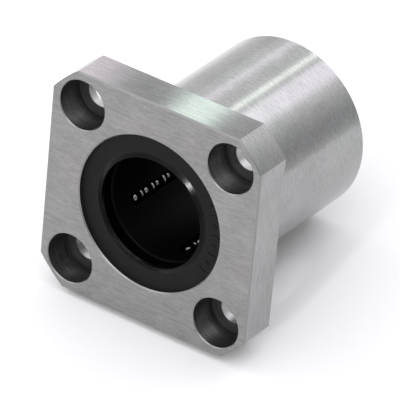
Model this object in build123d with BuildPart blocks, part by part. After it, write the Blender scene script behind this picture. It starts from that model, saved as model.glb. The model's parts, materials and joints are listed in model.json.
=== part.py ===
"""Square-flange linear ball bushing for a 20 mm shaft, built piece by piece.

Millimetres. The origin is on the bore axis, in the seating face of the flange. +Y runs along the
axis from the flange towards the free end of the sleeve, and +Z is up. The flange's outer face is at
y = -FLANGE_THICKNESS. Five ball circuits run round the bore; each is a closed racetrack with a
loaded straight, a return straight and two half turns.
"""

import os
from math import asin, cos, degrees, pi, radians, sin

from build123d import *

# --- flanged sleeve ---
OVERALL_LENGTH = 42.0
SLEEVE_RADIUS = 16.0
FLANGE_SIDE = 42.8
FLANGE_THICKNESS = 7.5
FLANGE_BLANK_RADIUS = 27.0  # the round bar the square flange is milled from
FLANGE_EDGE_BREAK = 0.25
SLEEVE_END_CHAMFER = 0.8
MOUTH_CHAMFER = 0.2
RELIEF_WIDTH = 0.8
RELIEF_DEPTH = 0.25

# --- flange screws: hexagon socket cap screws, M5 ---
SCREW_CIRCLE_RADIUS = 21.5
SCREW_COUNT = 4
SCREW_HOLE_RADIUS = 2.75
COUNTERBORE_RADIUS = 4.6
COUNTERBORE_DEPTH = 5.8
COUNTERBORE_EDGE_BREAK = 0.15

# --- balls and circuits ---
SHAFT_RADIUS = 10.0
BALL_RADIUS = 3.175 / 2
CIRCUIT_COUNT = 5
FIRST_LOAD_ANGLE = 65.0  # from +X towards +Z
BALLS_PER_ROW = 7
BALLS_PER_TURN = 3
TURN_RADIUS = 3.2
RETURN_ROW_RADIUS = 12.55  # distance of the return row's ball centres from the bore axis
BALL_GAP_TO_TRACK = 0.065
LAND_END_INSET = 0.1  # the lands start this far inside the end balls of a load row
LAND_RAMP = 0.8

# --- ball retainer ---
RETAINER_INNER_RADIUS = 10.25
RETAINER_OUTER_RADIUS = 13.05
TRACK_CLEARANCE = 0.1
RETAINER_END_WALL = 0.6
RETAINER_EDGE_BREAK = 0.25

# --- mouths of the sleeve, with seals and retaining rings ---
MOUTH_RADIUS = 14.45
SEAL_RECESS = 1.0
SEAL_WIDTH = 1.8
SEAL_PLAY = 0.01
RING_GROOVE_START = 2.85
RING_GROOVE_WIDTH = 0.85
RING_GROOVE_RADIUS = 15.0
RING_PLAY = 0.03
RING_INNER_RADIUS = 11.6
RING_GAP = 4.0

# --- seal section, radii and depths from the end face ---
COLLAR_FRONT = 0.5
COLLAR_ROOT_RADIUS = 11.15
COLLAR_CREST_RADIUS = 10.3
COLLAR_CREST_ROUNDING = 0.1
LIP_RADIUS = SHAFT_RADIUS
LIP_LAND_START = 1.0
LIP_LAND_WIDTH = 0.25
LIP_BACK_RADIUS = 10.75
LIP_BACK_DEPTH = 1.75
BACK_RIM_RADIUS = 10.4
BACK_RIM_START = 2.0
INSERT_INNER_RADIUS = 11.7
INSERT_THICKNESS = 0.5
INSERT_RIM_START = 1.5

# --- raised marks moulded on each seal face ---
MARK_HEIGHT = 0.12
MARK_WIDTH = 0.42
MARK_LENGTH = 1.5
MARK_CIRCLE_RADIUS = 12.85
MARK_COUNT = 9
MARK_STEP_ANGLE = 8.5
MARK_MIDDLE_ANGLE = 2.0

# --- worked out from the driving sizes ---
FRONT_Y = -FLANGE_THICKNESS
REAR_Y = OVERALL_LENGTH - FLANGE_THICKNESS
MIDDLE_Y = (FRONT_Y + REAR_Y) / 2
HALF_LENGTH = OVERALL_LENGTH / 2

BALL_PITCH = pi * TURN_RADIUS / BALLS_PER_TURN
STRAIGHT_LENGTH = BALLS_PER_ROW * BALL_PITCH
HALF_STRAIGHT = STRAIGHT_LENGTH / 2
LOAD_ROW_RADIUS = SHAFT_RADIUS + BALL_RADIUS
TRACK_RADIUS = SHAFT_RADIUS + 2 * BALL_RADIUS + BALL_GAP_TO_TRACK
LAND_HALF_LENGTH = HALF_STRAIGHT - BALL_PITCH / 2 - LAND_END_INSET

HALF_SPREAD = degrees(asin(TURN_RADIUS / RETURN_ROW_RADIUS))
CIRCUIT_PLANE_HEIGHT = RETURN_ROW_RADIUS * cos(radians(HALF_SPREAD))
LOAD_ROW_OFFSET = LOAD_ROW_RADIUS * sin(radians(HALF_SPREAD))
LOAD_ROW_DROP = CIRCUIT_PLANE_HEIGHT - LOAD_ROW_RADIUS * cos(radians(HALF_SPREAD))
CHANNEL_RADIUS = BALL_RADIUS + TRACK_CLEARANCE
CHANNEL_TOP = RETAINER_OUTER_RADIUS - CIRCUIT_PLANE_HEIGHT + 1.5  # runs clear of the outside
RETAINER_HALF_LENGTH = HALF_STRAIGHT + TURN_RADIUS + CHANNEL_RADIUS + RETAINER_END_WALL
RETURN_GROOVE_WIDTH = 2 * BALL_RADIUS + 2 * TRACK_CLEARANCE


def across(y):
    """The plane across the bore axis at y, with sketch X along +X and sketch Y along +Z."""
    return Plane.XZ.offset(-y)


def circuit_plane(number):
    """A circuit's own plane: sketch X along the bore axis, sketch Y from load to return row."""
    middle = radians(FIRST_LOAD_ANGLE + HALF_SPREAD + number * 360 / CIRCUIT_COUNT)
    outward = (cos(middle), 0, sin(middle))
    centre = (CIRCUIT_PLANE_HEIGHT * outward[0], MIDDLE_Y, CIRCUIT_PLANE_HEIGHT * outward[2])
    return Plane(origin=centre, x_dir=(0, 1, 0), z_dir=outward)


def row_section_plane(plane, along):
    """Across a circuit's rows at a distance along them: sketch Y points away from the bore."""
    return Plane(
        origin=plane.from_local_coords((along, 0, 0)), x_dir=plane.y_dir, z_dir=plane.x_dir
    )


def channel_section(middle, floor_centre):
    """A ball channel's section: a round floor and straight sides that run out of the retainer."""
    left = middle - CHANNEL_RADIUS
    right = middle + CHANNEL_RADIUS
    with BuildSketch() as section:
        with BuildLine():
            ThreePointArc(
                (left, floor_centre), (middle, floor_centre - CHANNEL_RADIUS), (right, floor_centre)
            )
            Polyline(
                (right, floor_centre), (right, CHANNEL_TOP), (left, CHANNEL_TOP), (left, floor_centre)
            )
        make_face()
    return section.sketch


def half_section(end):
    """A half plane for ring sections: sketch X is the radius, sketch Y the depth from one end."""
    if end == "front":
        return Plane(origin=(0, FRONT_Y, 0), x_dir=(1, 0, 0), z_dir=(0, 0, 1))
    return Plane(origin=(0, REAR_Y, 0), x_dir=(1, 0, 0), z_dir=(0, 0, -1))


def save(piece, name):
    """Label a finished piece and write it as its own STEP file."""
    piece.part.label = name
    export_step(piece.part, "parts/" + name + ".step")


os.makedirs("parts", exist_ok=True)

# --- flanged sleeve: one steel turning, square flange and tube ---
with BuildPart() as flanged_sleeve:
    with BuildSketch(across(0)):
        Rectangle(FLANGE_SIDE, FLANGE_SIDE)
        Circle(FLANGE_BLANK_RADIUS, mode=Mode.INTERSECT)
    extrude(amount=FLANGE_THICKNESS)
    chamfer(faces().sort_by(Axis.Y)[0].edges(), FLANGE_EDGE_BREAK)
    chamfer(faces().sort_by(Axis.Y)[-1].edges(), FLANGE_EDGE_BREAK)

    with BuildSketch(across(0)):
        Circle(SLEEVE_RADIUS)
    extrude(amount=-REAR_Y)
    chamfer(faces().sort_by(Axis.Y)[-1].edges(), SLEEVE_END_CHAMFER)

    # relief groove in the flange round the tube, so that a housing seats on the flange's face
    with BuildSketch(across(0)):
        Circle(SLEEVE_RADIUS + RELIEF_WIDTH)
        Circle(SLEEVE_RADIUS, mode=Mode.SUBTRACT)
    extrude(amount=RELIEF_DEPTH, mode=Mode.SUBTRACT)

    # bore: a chamfered mouth, a ring groove and a ramp at each end, and the ball lands between
    with BuildSketch(Plane.XY):
        with BuildLine():
            Polyline(
                (0, FRONT_Y),
                (MOUTH_RADIUS + MOUTH_CHAMFER, FRONT_Y),
                (MOUTH_RADIUS, FRONT_Y + MOUTH_CHAMFER),
                (MOUTH_RADIUS, FRONT_Y + RING_GROOVE_START),
                (RING_GROOVE_RADIUS, FRONT_Y + RING_GROOVE_START),
                (RING_GROOVE_RADIUS, FRONT_Y + RING_GROOVE_START + RING_GROOVE_WIDTH),
                (MOUTH_RADIUS, FRONT_Y + RING_GROOVE_START + RING_GROOVE_WIDTH),
                (MOUTH_RADIUS, MIDDLE_Y - LAND_HALF_LENGTH - LAND_RAMP),
                (TRACK_RADIUS, MIDDLE_Y - LAND_HALF_LENGTH),
                (TRACK_RADIUS, MIDDLE_Y),
            )
            mirror(about=across(MIDDLE_Y))
            Line((0, FRONT_Y), (0, REAR_Y))
        make_face()
    revolve(axis=Axis.Y, mode=Mode.SUBTRACT)

    # grooves between the lands, where the return rows stand outside the load track
    with BuildSketch(across(MIDDLE_Y)):
        first_return_angle = FIRST_LOAD_ANGLE + 2 * HALF_SPREAD
        with PolarLocations(RETURN_ROW_RADIUS, CIRCUIT_COUNT, start_angle=first_return_angle):
            Rectangle(2 * BALL_RADIUS + RETURN_GROOVE_WIDTH, RETURN_GROOVE_WIDTH)
        Circle(MOUTH_RADIUS, mode=Mode.INTERSECT)
    extrude(amount=LAND_HALF_LENGTH + LAND_RAMP, both=True, mode=Mode.SUBTRACT)

    with Locations(across(FRONT_Y)):
        with PolarLocations(SCREW_CIRCLE_RADIUS, SCREW_COUNT, start_angle=45):
            CounterBoreHole(SCREW_HOLE_RADIUS, COUNTERBORE_RADIUS, COUNTERBORE_DEPTH)
    counterbore_mouths = (
        edges()
        .filter_by(GeomType.CIRCLE)
        .filter_by_position(Axis.Y, FRONT_Y, FRONT_Y)
        .filter_by(lambda edge: abs(edge.radius - COUNTERBORE_RADIUS) < 0.001)
    )
    chamfer(counterbore_mouths, COUNTERBORE_EDGE_BREAK)
save(flanged_sleeve, "flanged_sleeve")

# --- ball retainer: a moulded tube with five racetrack channels open to the outside ---
with BuildPart() as ball_retainer:
    with BuildSketch(across(MIDDLE_Y)):
        Circle(RETAINER_OUTER_RADIUS)
        Circle(RETAINER_INNER_RADIUS, mode=Mode.SUBTRACT)
    extrude(amount=RETAINER_HALF_LENGTH, both=True)
    chamfer(edges().filter_by(GeomType.CIRCLE), RETAINER_EDGE_BREAK)

    for number in range(CIRCUIT_COUNT):
        plane = circuit_plane(number)
        # both straights of the racetrack, and the load row's slot, which is sunk towards the axis
        # until its floor opens the inner wall in a gap narrower than a ball
        sunk_slot = (-LOAD_ROW_OFFSET, -LOAD_ROW_DROP)
        for middle, floor_centre in ((TURN_RADIUS, 0), (-TURN_RADIUS, 0), sunk_slot):
            with BuildSketch(row_section_plane(plane, 0)):
                add(channel_section(middle, floor_centre))
            extrude(amount=HALF_STRAIGHT, both=True, mode=Mode.SUBTRACT)

        for side in (-1, 1):
            turn_way = -side * plane.z_dir
            turn_centre = plane.from_local_coords((side * HALF_STRAIGHT, 0, 0))
            with BuildSketch(row_section_plane(plane, side * HALF_STRAIGHT)):
                add(channel_section(TURN_RADIUS, 0))
            revolve(axis=Axis(turn_centre, turn_way), revolution_arc=180, mode=Mode.SUBTRACT)

            # rounded end of the load slot, where the balls climb to the turn
            row_end = plane.from_local_coords((side * HALF_STRAIGHT, -LOAD_ROW_OFFSET, 0))
            with BuildSketch(row_section_plane(plane, side * HALF_STRAIGHT)):
                add(channel_section(*sunk_slot))
                with Locations((-LOAD_ROW_OFFSET, CHANNEL_TOP)):
                    far_half = (Align.MAX, Align.MAX)
                    Rectangle(
                        2 * CHANNEL_RADIUS, RETAINER_OUTER_RADIUS, align=far_half, mode=Mode.SUBTRACT
                    )
            revolve(axis=Axis(row_end, turn_way), revolution_arc=180, mode=Mode.SUBTRACT)
save(ball_retainer, "ball_retainer")

# --- balls, as the four groups of each circuit that move as one ---
for number in range(CIRCUIT_COUNT):
    plane = circuit_plane(number)
    tag = str(number + 1)

    with BuildPart(plane.offset(-LOAD_ROW_DROP)) as load_balls:
        with Locations((0, -LOAD_ROW_OFFSET)):
            with GridLocations(BALL_PITCH, BALL_PITCH, BALLS_PER_ROW, 1):
                Sphere(BALL_RADIUS)
    save(load_balls, "load_balls_" + tag)

    with BuildPart(plane) as return_balls:
        with Locations((0, TURN_RADIUS)):
            with GridLocations(BALL_PITCH, BALL_PITCH, BALLS_PER_ROW, 1):
                Sphere(BALL_RADIUS)
    save(return_balls, "return_balls_" + tag)

    step = 180 / BALLS_PER_TURN
    for name, side, middle in (("front", -1, 180), ("rear", 1, 0)):
        first = middle - 90 + step / 2
        with BuildPart(plane) as turn_balls:
            with Locations((side * HALF_STRAIGHT, 0)):
                with PolarLocations(TURN_RADIUS, BALLS_PER_TURN, first, 180):
                    Sphere(BALL_RADIUS)
        save(turn_balls, name + "_turn_balls_" + tag)

# --- per end: retaining ring, seal and the seal's steel insert ---
for end in ("front", "rear"):
    section = half_section(end)
    ring_start = RING_GROOVE_START + RING_PLAY
    ring_width = RING_GROOVE_WIDTH - 2 * RING_PLAY
    ring_outer = RING_GROOVE_RADIUS - RING_PLAY
    seal_outer = MOUTH_RADIUS - SEAL_PLAY
    seal_end = SEAL_RECESS + SEAL_WIDTH
    insert_face = seal_end - INSERT_THICKNESS
    rim_inner = seal_outer - INSERT_THICKNESS
    collar_shoulder = COLLAR_FRONT + COLLAR_CREST_ROUNDING

    # split spring ring of square-edged strip
    with BuildPart() as retaining_ring:
        with BuildSketch(section):
            with Locations((RING_INNER_RADIUS, ring_start)):
                Rectangle(ring_outer - RING_INNER_RADIUS, ring_width, align=(Align.MIN, Align.MIN))
        revolve(axis=Axis.Y)
        with BuildSketch(across(MIDDLE_Y)):
            with Locations((0, -ring_outer)):
                Rectangle(RING_GAP, ring_outer)
        extrude(amount=HALF_LENGTH, both=True, mode=Mode.SUBTRACT)
    save(retaining_ring, end + "_retaining_ring")

    # angle-section ring that stiffens the seal and holds it in the mouth
    with BuildPart() as seal_insert:
        with BuildSketch(section):
            with BuildLine():
                Polyline(
                    (INSERT_INNER_RADIUS, insert_face),
                    (rim_inner, insert_face),
                    (rim_inner, INSERT_RIM_START),
                    (seal_outer, INSERT_RIM_START),
                    (seal_outer, seal_end),
                    (INSERT_INNER_RADIUS, seal_end),
                    close=True,
                )
            make_face()
        revolve(axis=Axis.Y)
    save(seal_insert, end + "_seal_insert")

    # rubber body: a low conical collar stands forward and carries the wiping lip inside it, and a
    # second rim behind the lip stays clear of the shaft
    with BuildPart() as seal:
        with BuildSketch(section):
            with BuildLine():
                Polyline(
                    (LIP_RADIUS, LIP_LAND_START),
                    (LIP_RADIUS, LIP_LAND_START + LIP_LAND_WIDTH),
                    (LIP_BACK_RADIUS, LIP_BACK_DEPTH),
                    (LIP_BACK_RADIUS, BACK_RIM_START),
                    (BACK_RIM_RADIUS, BACK_RIM_START),
                    (BACK_RIM_RADIUS, seal_end),
                    (INSERT_INNER_RADIUS, seal_end),
                    (INSERT_INNER_RADIUS, insert_face),
                    (rim_inner, insert_face),
                    (rim_inner, INSERT_RIM_START),
                    (seal_outer, INSERT_RIM_START),
                    (seal_outer, SEAL_RECESS),
                    (COLLAR_ROOT_RADIUS, SEAL_RECESS),
                    (COLLAR_CREST_RADIUS + COLLAR_CREST_ROUNDING, collar_shoulder),
                )
                ThreePointArc(
                    (COLLAR_CREST_RADIUS + COLLAR_CREST_ROUNDING, collar_shoulder),
                    (COLLAR_CREST_RADIUS, COLLAR_FRONT),
                    (COLLAR_CREST_RADIUS - COLLAR_CREST_ROUNDING, collar_shoulder),
                )
                Line(
                    (COLLAR_CREST_RADIUS - COLLAR_CREST_ROUNDING, collar_shoulder),
                    (LIP_RADIUS, LIP_LAND_START),
                )
            make_face()
        revolve(axis=Axis.Y)

        # short and long raised bars in place of a size marking
        face_y = FRONT_Y + SEAL_RECESS if end == "front" else REAR_Y - SEAL_RECESS
        towards_end = 1 if end == "front" else -1
        first_angle = MARK_MIDDLE_ANGLE - MARK_STEP_ANGLE * (MARK_COUNT - 1) / 2
        for mark in range(MARK_COUNT):
            angle = first_angle + mark * MARK_STEP_ANGLE
            length = MARK_LENGTH if mark % 2 == 0 else MARK_LENGTH / 2
            with BuildSketch(across(face_y)):
                with PolarLocations(MARK_CIRCLE_RADIUS, 1, start_angle=angle):
                    Rectangle(length, MARK_WIDTH)
            extrude(amount=towards_end * MARK_HEIGHT)
    save(seal, end + "_seal")
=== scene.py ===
"""Looks of the linear ball bushing: finishes, light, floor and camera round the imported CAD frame."""
import json
from math import atan2, cos, degrees, pi, radians, sin

import bpy
from mathutils import Matrix, Vector


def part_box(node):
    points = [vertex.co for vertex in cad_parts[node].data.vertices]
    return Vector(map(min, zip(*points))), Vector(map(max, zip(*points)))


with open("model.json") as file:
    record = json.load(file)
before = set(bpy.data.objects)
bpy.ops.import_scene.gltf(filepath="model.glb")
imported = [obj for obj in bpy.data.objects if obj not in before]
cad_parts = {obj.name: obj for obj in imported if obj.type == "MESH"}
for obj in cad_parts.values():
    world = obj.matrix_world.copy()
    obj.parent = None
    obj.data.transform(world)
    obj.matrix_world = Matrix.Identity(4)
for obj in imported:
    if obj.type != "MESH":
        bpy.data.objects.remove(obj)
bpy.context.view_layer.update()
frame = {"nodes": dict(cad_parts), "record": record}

MM = 0.001
nodes = frame["nodes"]
mounts = {mount["name"]: mount for mount in frame["record"]["mounts"]}

# --- places read from the frame, in millimetres ---
SLEEVE_LOW, SLEEVE_HIGH = (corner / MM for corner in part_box("flanged_sleeve"))
FRONT_Y = SLEEVE_LOW.y
HALF_SIDE = SLEEVE_HIGH.x
SPIGOT = mounts["housing_spigot"]
TUBE_RADIUS = SPIGOT["dims"]["r_mm"]
TUBE_END_Y = SPIGOT["pos_m"][1] / MM + SPIGOT["dims"]["length_mm"] / 2
SCREW_OFFSET = mounts["flange_bolts"]["dims"]["pcd_mm"] / 2 * cos(pi / 4)

# Each through hole runs from here, the floor of its counterbore, to the seat at y = 0.
THROUGH_HOLE_Y = 2 * mounts["flange_bolts"]["pos_m"][1] / MM

# The bushing lies on the lower rear edge of its flange and on the rim of its tube.
FLANGE_EDGE_BREAK = 0.25
FLOOR_TILT = atan2(HALF_SIDE - TUBE_RADIUS, TUBE_END_Y + FLANGE_EDGE_BREAK)
TO_FLOOR = Matrix.Rotation(FLOOR_TILT, 4, "X")

# --- where one finish ends and the next begins, in millimetres from the axis: none, full ---
COUNTERBORE_REGION = (4.80, 4.68)
MOUTH_REGION = (14.75, 14.55)
SEAL_COLLAR_REGION = (11.45, 11.25)
# painted shade inside the seal lip, not a finish of its own: where it starts and where it is full
SEAL_INNER_SHADE_REGION = (11.0, 10.85)
FLOOR_RADIUS = 0.16
FLOOR_SIDES = 96


# ---------------------------------------------------------------- shader graphs
class Graph:
    """A node tree with short calls for the nodes that the finishes are made of."""

    def __init__(self, tree):
        self.tree = tree
        tree.nodes.clear()

    def add(self, kind, **settings):
        made = self.tree.nodes.new(kind)
        for name, value in settings.items():
            setattr(made, name, value)
        return made

    def put(self, socket, value):
        """Links a socket to another node's output, or sets it to a plain value."""
        if isinstance(value, bpy.types.NodeSocket):
            self.tree.links.new(value, socket)
        else:
            socket.default_value = value

    def math(self, operation, first, second=0.0, clamp=False):
        made = self.add("ShaderNodeMath", operation=operation, use_clamp=clamp)
        self.put(made.inputs[0], first)
        self.put(made.inputs[1], second)
        return made.outputs[0]

    def ramp(self, value, low, high, smooth=True):
        """0 below low, 1 above high, falling the other way when low is the larger."""
        made = self.add("ShaderNodeMapRange", interpolation_type="SMOOTHSTEP" if smooth else "LINEAR")
        self.put(made.inputs["Value"], value)
        flip = low > high
        self.put(made.inputs["From Min"], min(low, high))
        self.put(made.inputs["From Max"], max(low, high))
        self.put(made.inputs["To Min"], 1.0 if flip else 0.0)
        self.put(made.inputs["To Max"], 0.0 if flip else 1.0)
        return made.outputs["Result"]

    def mix(self, factor, first, second):
        """Blends two numbers."""
        made = self.add("ShaderNodeMix", data_type="FLOAT")
        self.put(made.inputs["Factor"], factor)
        self.put(made.inputs[2], first)
        self.put(made.inputs[3], second)
        return made.outputs[0]

    def mix_colour(self, factor, first, second, blend="MIX"):
        made = self.add("ShaderNodeMix", data_type="RGBA", blend_type=blend)
        self.put(made.inputs["Factor"], factor)
        self.put(made.inputs[6], first)
        self.put(made.inputs[7], second)
        return made.outputs[2]

    def mix_vector(self, factor, first, second):
        made = self.add("ShaderNodeMix", data_type="VECTOR")
        self.put(made.inputs["Factor"], factor)
        self.put(made.inputs[4], first)
        self.put(made.inputs[5], second)
        return made.outputs[1]

    def noise(self, vector, scale, detail=2.0, rough=0.5, distortion=0.0):
        made = self.add("ShaderNodeTexNoise")
        self.put(made.inputs["Vector"], vector)
        self.put(made.inputs["Scale"], scale)
        self.put(made.inputs["Detail"], detail)
        self.put(made.inputs["Roughness"], rough)
        self.put(made.inputs["Distortion"], distortion)
        return made.outputs["Fac"]

    def vector(self, x, y, z):
        made = self.add("ShaderNodeCombineXYZ")
        for socket, value in zip(made.inputs, (x, y, z)):
            self.put(socket, value)
        return made.outputs[0]

    def split(self, vector):
        made = self.add("ShaderNodeSeparateXYZ")
        self.put(made.inputs[0], vector)
        return made.outputs[0], made.outputs[1], made.outputs[2]

    def stretch(self, coordinates, factors):
        """A vector of three coordinates, each times its own factor."""
        return self.vector(*(self.math("MULTIPLY", c, f) for c, f in zip(coordinates, factors)))

    def distance(self, first, second):
        squares = [self.math("MULTIPLY", side, side) for side in (first, second)]
        return self.math("SQRT", self.math("ADD", *squares))

    def scale(self, vector, factor):
        made = self.add("ShaderNodeVectorMath", operation="SCALE")
        self.put(made.inputs[0], vector)
        self.put(made.inputs["Scale"], factor)
        return made.outputs[0]

    def bump(self, height, depth_mm, strength=1.0, normal=None):
        made = self.add("ShaderNodeBump")
        self.put(made.inputs["Height"], height)
        self.put(made.inputs["Distance"], depth_mm * MM)
        self.put(made.inputs["Strength"], strength)
        if normal is not None:
            self.put(made.inputs["Normal"], normal)
        return made.outputs[0]

    def place(self):
        """Position in the row frame, in millimetres, and the surface normal."""
        coordinates = self.add("ShaderNodeTexCoord")
        return self.scale(coordinates.outputs["Object"], 1 / MM), coordinates.outputs["Normal"]


def new_material(name):
    material = bpy.data.materials.new(name)
    material.use_nodes = True
    graph = Graph(material.node_tree)
    shader = graph.add("ShaderNodeBsdfPrincipled")
    output = graph.add("ShaderNodeOutputMaterial")
    graph.put(output.inputs["Surface"], shader.outputs[0])
    return material, graph, shader


def dress(names, material):
    """Gives CAD nodes a finish in their own material slots."""
    for name in names:
        nodes[name].data.materials.clear()
        nodes[name].data.materials.append(material)


def grey(level, warm=0.0):
    """A grey of that linear level, slightly warm or cold."""
    return (level * (1 + warm), level, level * (1 - warm), 1.0)


# ---------------------------------------------------------------- finishes
def sleeve_steel():
    """Ground bearing steel: each region of the sleeve shows how it was machined, and the counterbores
    carry painted shade.
    """
    material, graph, shader = new_material("ground_sleeve_steel")
    place, normal = graph.place()
    x, y, z = graph.split(place)
    _, normal_y, _ = graph.split(normal)
    radius = graph.distance(x, z)
    turn = graph.math("ARCTAN2", z, x)
    round_tube = graph.math("MULTIPLY", turn, TUBE_RADIUS)

    # regions
    from_screw_x = graph.math("SUBTRACT", graph.math("ABSOLUTE", x), SCREW_OFFSET)
    from_screw_z = graph.math("SUBTRACT", graph.math("ABSOLUTE", z), SCREW_OFFSET)
    from_screw = graph.distance(from_screw_x, from_screw_z)
    below_face = graph.ramp(y, FRONT_Y + 0.1, FRONT_Y + 0.3)
    ahead_of_seat = graph.ramp(y, -0.05, -0.15)
    in_flange = graph.math("MULTIPLY", below_face, ahead_of_seat)
    in_screw_hole = graph.math("MULTIPLY", graph.ramp(from_screw, *COUNTERBORE_REGION), in_flange)
    in_mouth = graph.math("MULTIPLY", graph.ramp(radius, *MOUTH_REGION), below_face)
    on_tube = graph.math("MULTIPLY", graph.ramp(y, 0.0, 0.1), graph.ramp(radius, 15.0, 15.5))
    on_face = graph.ramp(graph.math("ABSOLUTE", normal_y), 0.6, 0.9)

    # grain: long fine strokes, along X on the flange, round the tube, round each screw hole
    face_strokes = graph.noise(graph.stretch((x, y, z), (0.45, 1.0, 4.0)), 1.0, 3.0, 0.65)
    side_strokes = graph.noise(graph.stretch((x, y, z), (0.4, 5.0, 0.4)), 1.0, 3.0, 0.65)
    tube_strokes = graph.noise(graph.stretch((round_tube, y, radius), (0.6, 4.0, 1.0)), 1.0, 3.0, 0.65)
    specks = graph.noise(place, 3.0, 3.0, 0.75)
    blotches = graph.noise(place, 0.12, 2.0, 0.5)
    screw_angle = graph.math("ARCTAN2", from_screw_z, from_screw_x)
    ring_place = graph.stretch((y, from_screw, screw_angle), (3.0, 3.0, 1.2))
    hole_rings = graph.noise(ring_place, 1.0, 3.0, 0.75, 0.3)

    strokes = graph.mix(on_face, side_strokes, face_strokes)
    strokes = graph.mix(on_tube, strokes, tube_strokes)
    strokes = graph.mix(in_screw_hole, strokes, hole_rings)

    # colour: grey steel, darker on the face and on broken edges, and painted shade in the counterbores
    tone = graph.math("ADD", graph.math("MULTIPLY", strokes, 0.5), graph.math("MULTIPLY", specks, 0.3))
    tone = graph.math("ADD", tone, graph.math("MULTIPLY", blotches, 0.2))
    light_steel = graph.mix_colour(tone, grey(0.06), grey(0.61))
    oil = graph.ramp(graph.noise(graph.scale(place, 0.09), 1.0, 1.0, 0.5), 0.35, 0.65)
    tint = graph.mix_colour(oil, (1.0, 0.985, 0.99, 1.0), (0.98, 1.0, 0.985, 1.0))
    light_steel = graph.mix_colour(1.0, light_steel, tint, "MULTIPLY")
    on_front = graph.math("MULTIPLY", on_face, graph.ramp(y, FRONT_Y + 0.3, FRONT_Y + 0.1))
    light_steel = graph.mix_colour(on_front, light_steel, grey(0.82, 0.008), "MULTIPLY")
    slope = graph.math("ABSOLUTE", normal_y)
    broken = graph.math("MULTIPLY", graph.ramp(slope, 0.35, 0.6), graph.ramp(slope, 0.95, 0.85))
    light_steel = graph.mix_colour(graph.math("MULTIPLY", broken, 0.85), light_steel, grey(0.25))
    # painted shade: counterbore walls and floors are painted near black for the shade in these recesses,
    # with their turning rings in that dark grey; the through hole beyond keeps a plain steel grey
    hole_steel_with_painted_shade = graph.mix_colour(hole_rings, grey(0.0), grey(0.22, 0.02))
    through = graph.ramp(y, THROUGH_HOLE_Y, THROUGH_HOLE_Y + 0.2)
    hole_steel_with_painted_shade = graph.mix_colour(through, hole_steel_with_painted_shade, grey(0.42))
    colour = graph.mix_colour(in_screw_hole, light_steel, hole_steel_with_painted_shade)
    colour = graph.mix_colour(in_mouth, colour, grey(0.30))
    graph.put(shader.inputs["Base Color"], colour)
    graph.put(shader.inputs["Metallic"], 1.0)

    rough = graph.mix(on_face, 0.15, 0.32)
    rough = graph.mix(on_tube, rough, 0.13)
    rough = graph.mix(in_screw_hole, rough, 0.40)
    rough = graph.mix(in_mouth, rough, 0.22)
    graph.put(shader.inputs["Roughness"], graph.math("ADD", rough, graph.math("MULTIPLY", specks, 0.06)))

    height = graph.math("ADD", strokes, graph.math("MULTIPLY", specks, 0.4))
    depth = graph.bump(height, 0.0035)
    ring_depth = graph.bump(hole_rings, 0.05)
    graph.put(shader.inputs["Normal"], graph.mix_vector(in_screw_hole, depth, ring_depth))
    return material


def seal_rubber():
    """Moulded black rubber, satin on the face and glossier on the collar and lip, with painted shade
    darkening it inside the lip.
    """
    material, graph, shader = new_material("moulded_seal_rubber")
    place, _ = graph.place()
    x, _, z = graph.split(place)
    radius = graph.distance(x, z)
    grain = graph.noise(place, 9.0, 3.0, 0.6)
    bloom = graph.noise(place, 0.5, 2.0, 0.5)
    colour = graph.mix_colour(bloom, (0.004, 0.0042, 0.0044, 1.0), (0.007, 0.0073, 0.0076, 1.0))
    # painted shade: inside the lip the rubber is painted near black for the shade deep in the bore opening
    inner_painted_shade = graph.ramp(radius, *SEAL_INNER_SHADE_REGION)
    colour = graph.mix_colour(inner_painted_shade, colour, grey(0.001))
    graph.put(shader.inputs["Base Color"], colour)
    collar = graph.ramp(radius, *SEAL_COLLAR_REGION)
    rough = graph.mix(collar, 0.50, 0.11)
    graph.put(shader.inputs["Roughness"], graph.math("ADD", rough, graph.math("MULTIPLY", grain, 0.08)))
    graph.put(shader.inputs["Normal"], graph.bump(grain, 0.004))
    graph.put(shader.inputs["Specular IOR Level"], 0.13)
    return material


def retainer_plastic():
    """Deep black moulded plastic with a dull sheen and fine flow marks along the bore."""
    material, graph, shader = new_material("moulded_retainer_plastic")
    place, _ = graph.place()
    x, y, z = graph.split(place)
    flow = graph.noise(graph.stretch((x, y, z), (1.5, 0.25, 1.5)), 1.0, 3.0, 0.6)
    grain = graph.noise(place, 12.0, 2.0, 0.6)
    colour = graph.mix_colour(flow, (0.0008, 0.0008, 0.0009, 1.0), (0.002, 0.002, 0.0022, 1.0))
    graph.put(shader.inputs["Base Color"], colour)
    graph.put(shader.inputs["Roughness"], graph.math("ADD", 0.36, graph.math("MULTIPLY", flow, 0.12)))
    graph.put(shader.inputs["Normal"], graph.bump(grain, 0.003))
    graph.put(shader.inputs["Specular IOR Level"], 0.04)
    return material


def ball_steel():
    """Lapped chrome steel with a trace of oil, its grey kept dark as painted shade for the balls deep in
    the bore.
    """
    material, graph, shader = new_material("lapped_ball_steel")
    place, _ = graph.place()
    haze = graph.noise(place, 1.3, 3.0, 0.6)
    # painted shade: a far darker grey than bare chrome steel, for the balls in the shaded bore; the haze
    # varies it as the oil trace
    graph.put(shader.inputs["Base Color"], graph.mix_colour(haze, grey(0.13), grey(0.20, 0.01)))
    graph.put(shader.inputs["Metallic"], 1.0)
    graph.put(shader.inputs["Roughness"], graph.math("ADD", 0.05, graph.math("MULTIPLY", haze, 0.06)))
    graph.put(shader.inputs["Normal"], graph.bump(haze, 0.002))
    return material


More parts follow.
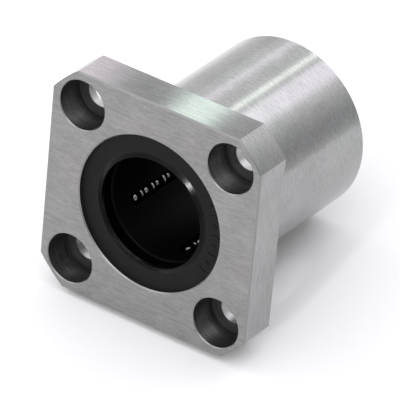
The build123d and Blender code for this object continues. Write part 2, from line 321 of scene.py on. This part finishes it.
def strip_steel(name, level, rough, scratch_depth):
    """Rolled or spring steel strip: circular scratches round the bore and darker stains."""
    material, graph, shader = new_material(name)
    place, _ = graph.place()
    x, y, z = graph.split(place)
    radius = graph.distance(x, z)
    turn = graph.math("ARCTAN2", z, x)
    scratches = graph.noise(graph.stretch((radius, y, turn), (9.0, 9.0, 2.0)), 1.0, 3.0, 0.6)
    stains = graph.noise(place, 0.8, 3.0, 0.5)
    colour = graph.mix_colour(stains, grey(level * 0.7, 0.03), grey(level))
    graph.put(shader.inputs["Base Color"], colour)
    graph.put(shader.inputs["Metallic"], 1.0)
    graph.put(shader.inputs["Roughness"], graph.math("ADD", rough, graph.math("MULTIPLY", scratches, 0.1)))
    graph.put(shader.inputs["Normal"], graph.bump(scratches, scratch_depth))
    return material


ends = ("front", "rear")
dress(["flanged_sleeve"], sleeve_steel())
dress(["ball_retainer"], retainer_plastic())
dress([end + "_seal" for end in ends], seal_rubber())
dress([end + "_seal_insert" for end in ends], strip_steel("pressed_insert_steel", 0.45, 0.3, 0.004))
dress([end + "_retaining_ring" for end in ends], strip_steel("spring_ring_steel", 0.28, 0.35, 0.006))
dress([name for name in nodes if "_balls_" in name], ball_steel())


# ---------------------------------------------------------------- floor, light and camera
def plain_floor():
    """A pale round table, tilted so that the bushing lies on it, with a painted shadow darkening it
    towards +x.
    """
    mesh = bpy.data.meshes.new("floor")
    turns = [2 * pi * i / FLOOR_SIDES for i in range(FLOOR_SIDES)]
    corners = [(FLOOR_RADIUS * cos(turn), FLOOR_RADIUS * sin(turn), 0.0) for turn in turns]
    mesh.from_pydata(corners, [], [list(range(FLOOR_SIDES))])
    floor = bpy.data.objects.new("floor", mesh)
    bpy.context.scene.collection.objects.link(floor)
    support = Vector((0.0, -FLANGE_EDGE_BREAK, -HALF_SIDE)) * MM
    floor.matrix_world = Matrix.Translation(support) @ TO_FLOOR
    material, graph, shader = new_material("pale_floor")
    place, _ = graph.place()
    x, y, _ = graph.split(place)
    speckle = graph.noise(place, 0.6, 3.0, 0.5)
    cloth = graph.mix_colour(speckle, grey(0.695), grey(0.715))
    # painted shadow: the floor colour is darkened towards +x, beside the bushing and fading out behind it,
    # where its shadow falls
    painted_floor_shadow = graph.math("MULTIPLY", graph.ramp(x, 10.0, 60.0), graph.ramp(y, 90.0, 30.0))
    graph.put(shader.inputs["Base Color"], graph.mix_colour(painted_floor_shadow, cloth, grey(0.94), "MULTIPLY"))
    graph.put(shader.inputs["Roughness"], 0.8)
    graph.put(shader.inputs["Specular IOR Level"], 0.2)
    mesh.materials.append(material)


SKY_LEVEL = 1.02
# Long soft boxes and screens parallel to the bore: angle above +X round the bore, half width, fade
# below and above, and how much brighter or darker they are than the sky.
SKY_PANELS = (
    (100.0, 50.0, 8.0, 6.0, (1.26, 1.26, 1.27)),
    (76.0, 9.0, 16.0, 5.0, (1.77, 1.71, 1.82)),
    (99.0, 1.8, 3.5, 2.5, (2.18, 2.30, 2.16)),
    (134.0, 2.0, 12.0, 4.0, (1.48, 1.44, 1.53)),
    (14.0, 3.0, 26.0, 32.0, (0.61, 0.615, 0.63)),
)


def studio_sky():
    """Even white surroundings with long soft boxes over the bushing and one dark screen."""
    world = bpy.data.worlds.new("studio")
    bpy.context.scene.world = world
    world.use_nodes = True
    graph = Graph(world.node_tree)
    direction = graph.add("ShaderNodeTexCoord").outputs["Generated"]
    x, _, z = graph.split(direction)
    angle = graph.math("MULTIPLY", graph.math("ARCTAN2", z, x), degrees(1.0))
    light = grey(SKY_LEVEL)
    for centre, half, fade_below, fade_above, gain in SKY_PANELS:
        rise = graph.ramp(angle, centre - half - fade_below, centre - half)
        fall = graph.ramp(angle, centre + half + fade_above, centre + half)
        light = graph.mix_colour(graph.math("MULTIPLY", rise, fall), light, gain + (1.0,), "MULTIPLY")
    background = graph.add("ShaderNodeBackground")
    graph.put(background.inputs["Color"], light)
    plain = graph.add("ShaderNodeBackground")
    graph.put(plain.inputs["Color"], grey(1.0))
    seen = graph.add("ShaderNodeLightPath").outputs["Is Camera Ray"]
    either = graph.add("ShaderNodeMixShader")
    graph.put(either.inputs[0], seen)
    graph.put(either.inputs[1], background.outputs[0])
    graph.put(either.inputs[2], plain.outputs[0])
    output = graph.add("ShaderNodeOutputWorld")
    graph.put(output.inputs["Surface"], either.outputs[0])


def area_light(name, place_mm, aim_mm, size_mm, power, colour=(1.0, 1.0, 1.0)):
    light = bpy.data.lights.new(name, "AREA")
    light.shape = "RECTANGLE"
    light.size, light.size_y = (side * MM for side in size_mm)
    light.energy = power
    light.color = colour
    lamp = bpy.data.objects.new(name, light)
    bpy.context.scene.collection.objects.link(lamp)
    lamp.location = Vector(place_mm) * MM
    away = Vector(place_mm) - Vector(aim_mm)
    lamp.rotation_euler = away.to_track_quat("Z", "Y").to_euler()
    return lamp


# The camera stands upright over the floor: angles round the floor's normal and above the floor.
CAMERA_AZIMUTH = radians(35.71)
CAMERA_ELEVATION = radians(38.85)
CAMERA_ROLL = radians(-0.78)
CAMERA_DISTANCE = 1036.8
CAMERA_LENS = 546.1
CAMERA_AIM = Vector((-0.84, 9.6, -5.28))


def photo_camera():
    data = bpy.data.cameras.new("camera")
    data.lens = CAMERA_LENS
    data.clip_start = 0.01
    camera = bpy.data.objects.new("camera", data)
    bpy.context.scene.collection.objects.link(camera)
    towards = Vector((
        sin(CAMERA_AZIMUTH) * cos(CAMERA_ELEVATION),
        -cos(CAMERA_AZIMUTH) * cos(CAMERA_ELEVATION),
        sin(CAMERA_ELEVATION),
    ))
    level = Matrix.Rotation(CAMERA_AZIMUTH, 4, "Z") @ Matrix.Rotation(pi / 2 - CAMERA_ELEVATION, 4, "X")
    turned = TO_FLOOR @ level @ Matrix.Rotation(CAMERA_ROLL, 4, "Z")
    place = CAMERA_AIM + CAMERA_DISTANCE * (TO_FLOOR.to_3x3() @ towards)
    camera.matrix_world = Matrix.Translation(place * MM) @ turned
    bpy.context.scene.camera = camera


CARD_HEIGHT = 18.0
CARD_MARGIN = 9.0
CARD_LEVEL = 0.70
# lit stretches of the card: lowest and highest x, fade, light
CARD_STRETCHES = (
    (2.0, 9.0, 1.6, (2.20, 2.55, 2.36)),
    (-60.0, -15.5, 8.0, (1.62, 1.50, 1.62)),
)


def reflector_card():
    """A small soft-edged card that the flange's top side mirrors: dark, with two lit stretches."""
    forward = bpy.context.scene.camera.matrix_world.to_3x3() @ Vector((0, 0, -1))
    mirrored = Vector((forward.x, forward.y, -forward.z))
    middle = Vector((0, FRONT_Y / 2, HALF_SIDE)) + mirrored * (CARD_HEIGHT / mirrored.z)
    core_x, core_y = HALF_SIDE, -FRONT_Y / 2
    half_x, half_y = core_x + CARD_MARGIN, core_y + CARD_MARGIN
    mesh = bpy.data.meshes.new("card")
    corners = [(-half_x, -half_y, 0), (half_x, -half_y, 0), (half_x, half_y, 0), (-half_x, half_y, 0)]
    mesh.from_pydata([Vector(corner) * MM for corner in corners], [], [(0, 1, 2, 3)])
    card = bpy.data.objects.new("card", mesh)
    bpy.context.scene.collection.objects.link(card)
    card.location = middle * MM
    card.visible_camera = card.visible_diffuse = card.visible_shadow = False
    material, graph, shader = new_material("card")
    x, y, _ = graph.split(graph.place()[0])
    solid_x = graph.ramp(graph.math("ABSOLUTE", x), half_x, core_x)
    solid_y = graph.ramp(graph.math("ABSOLUTE", y), half_y, core_y)
    graph.put(shader.inputs["Alpha"], graph.math("MULTIPLY", solid_x, solid_y))
    light = grey(CARD_LEVEL)
    for low, high, fade, colour in CARD_STRETCHES:
        glow = graph.math("MULTIPLY", graph.ramp(x, low - fade, low), graph.ramp(x, high + fade, high))
        light = graph.mix_colour(glow, light, colour + (1.0,))
    graph.put(shader.inputs["Base Color"], grey(0.0))
    graph.put(shader.inputs["Specular IOR Level"], 0.0)
    graph.put(shader.inputs["Emission Color"], light)
    graph.put(shader.inputs["Emission Strength"], 1.0)
    mesh.materials.append(material)


plain_floor()
studio_sky()
photo_camera()
reflector_card()
area_light("key", (-420, -60, 420), (0, 10, 0), (320, 320), 0.5)
area_light("collar_light", (63, -485, 86), (8, -7, 8), (32, 32), 0.6)
bpy.context.scene.view_settings.view_transform = "Standard"
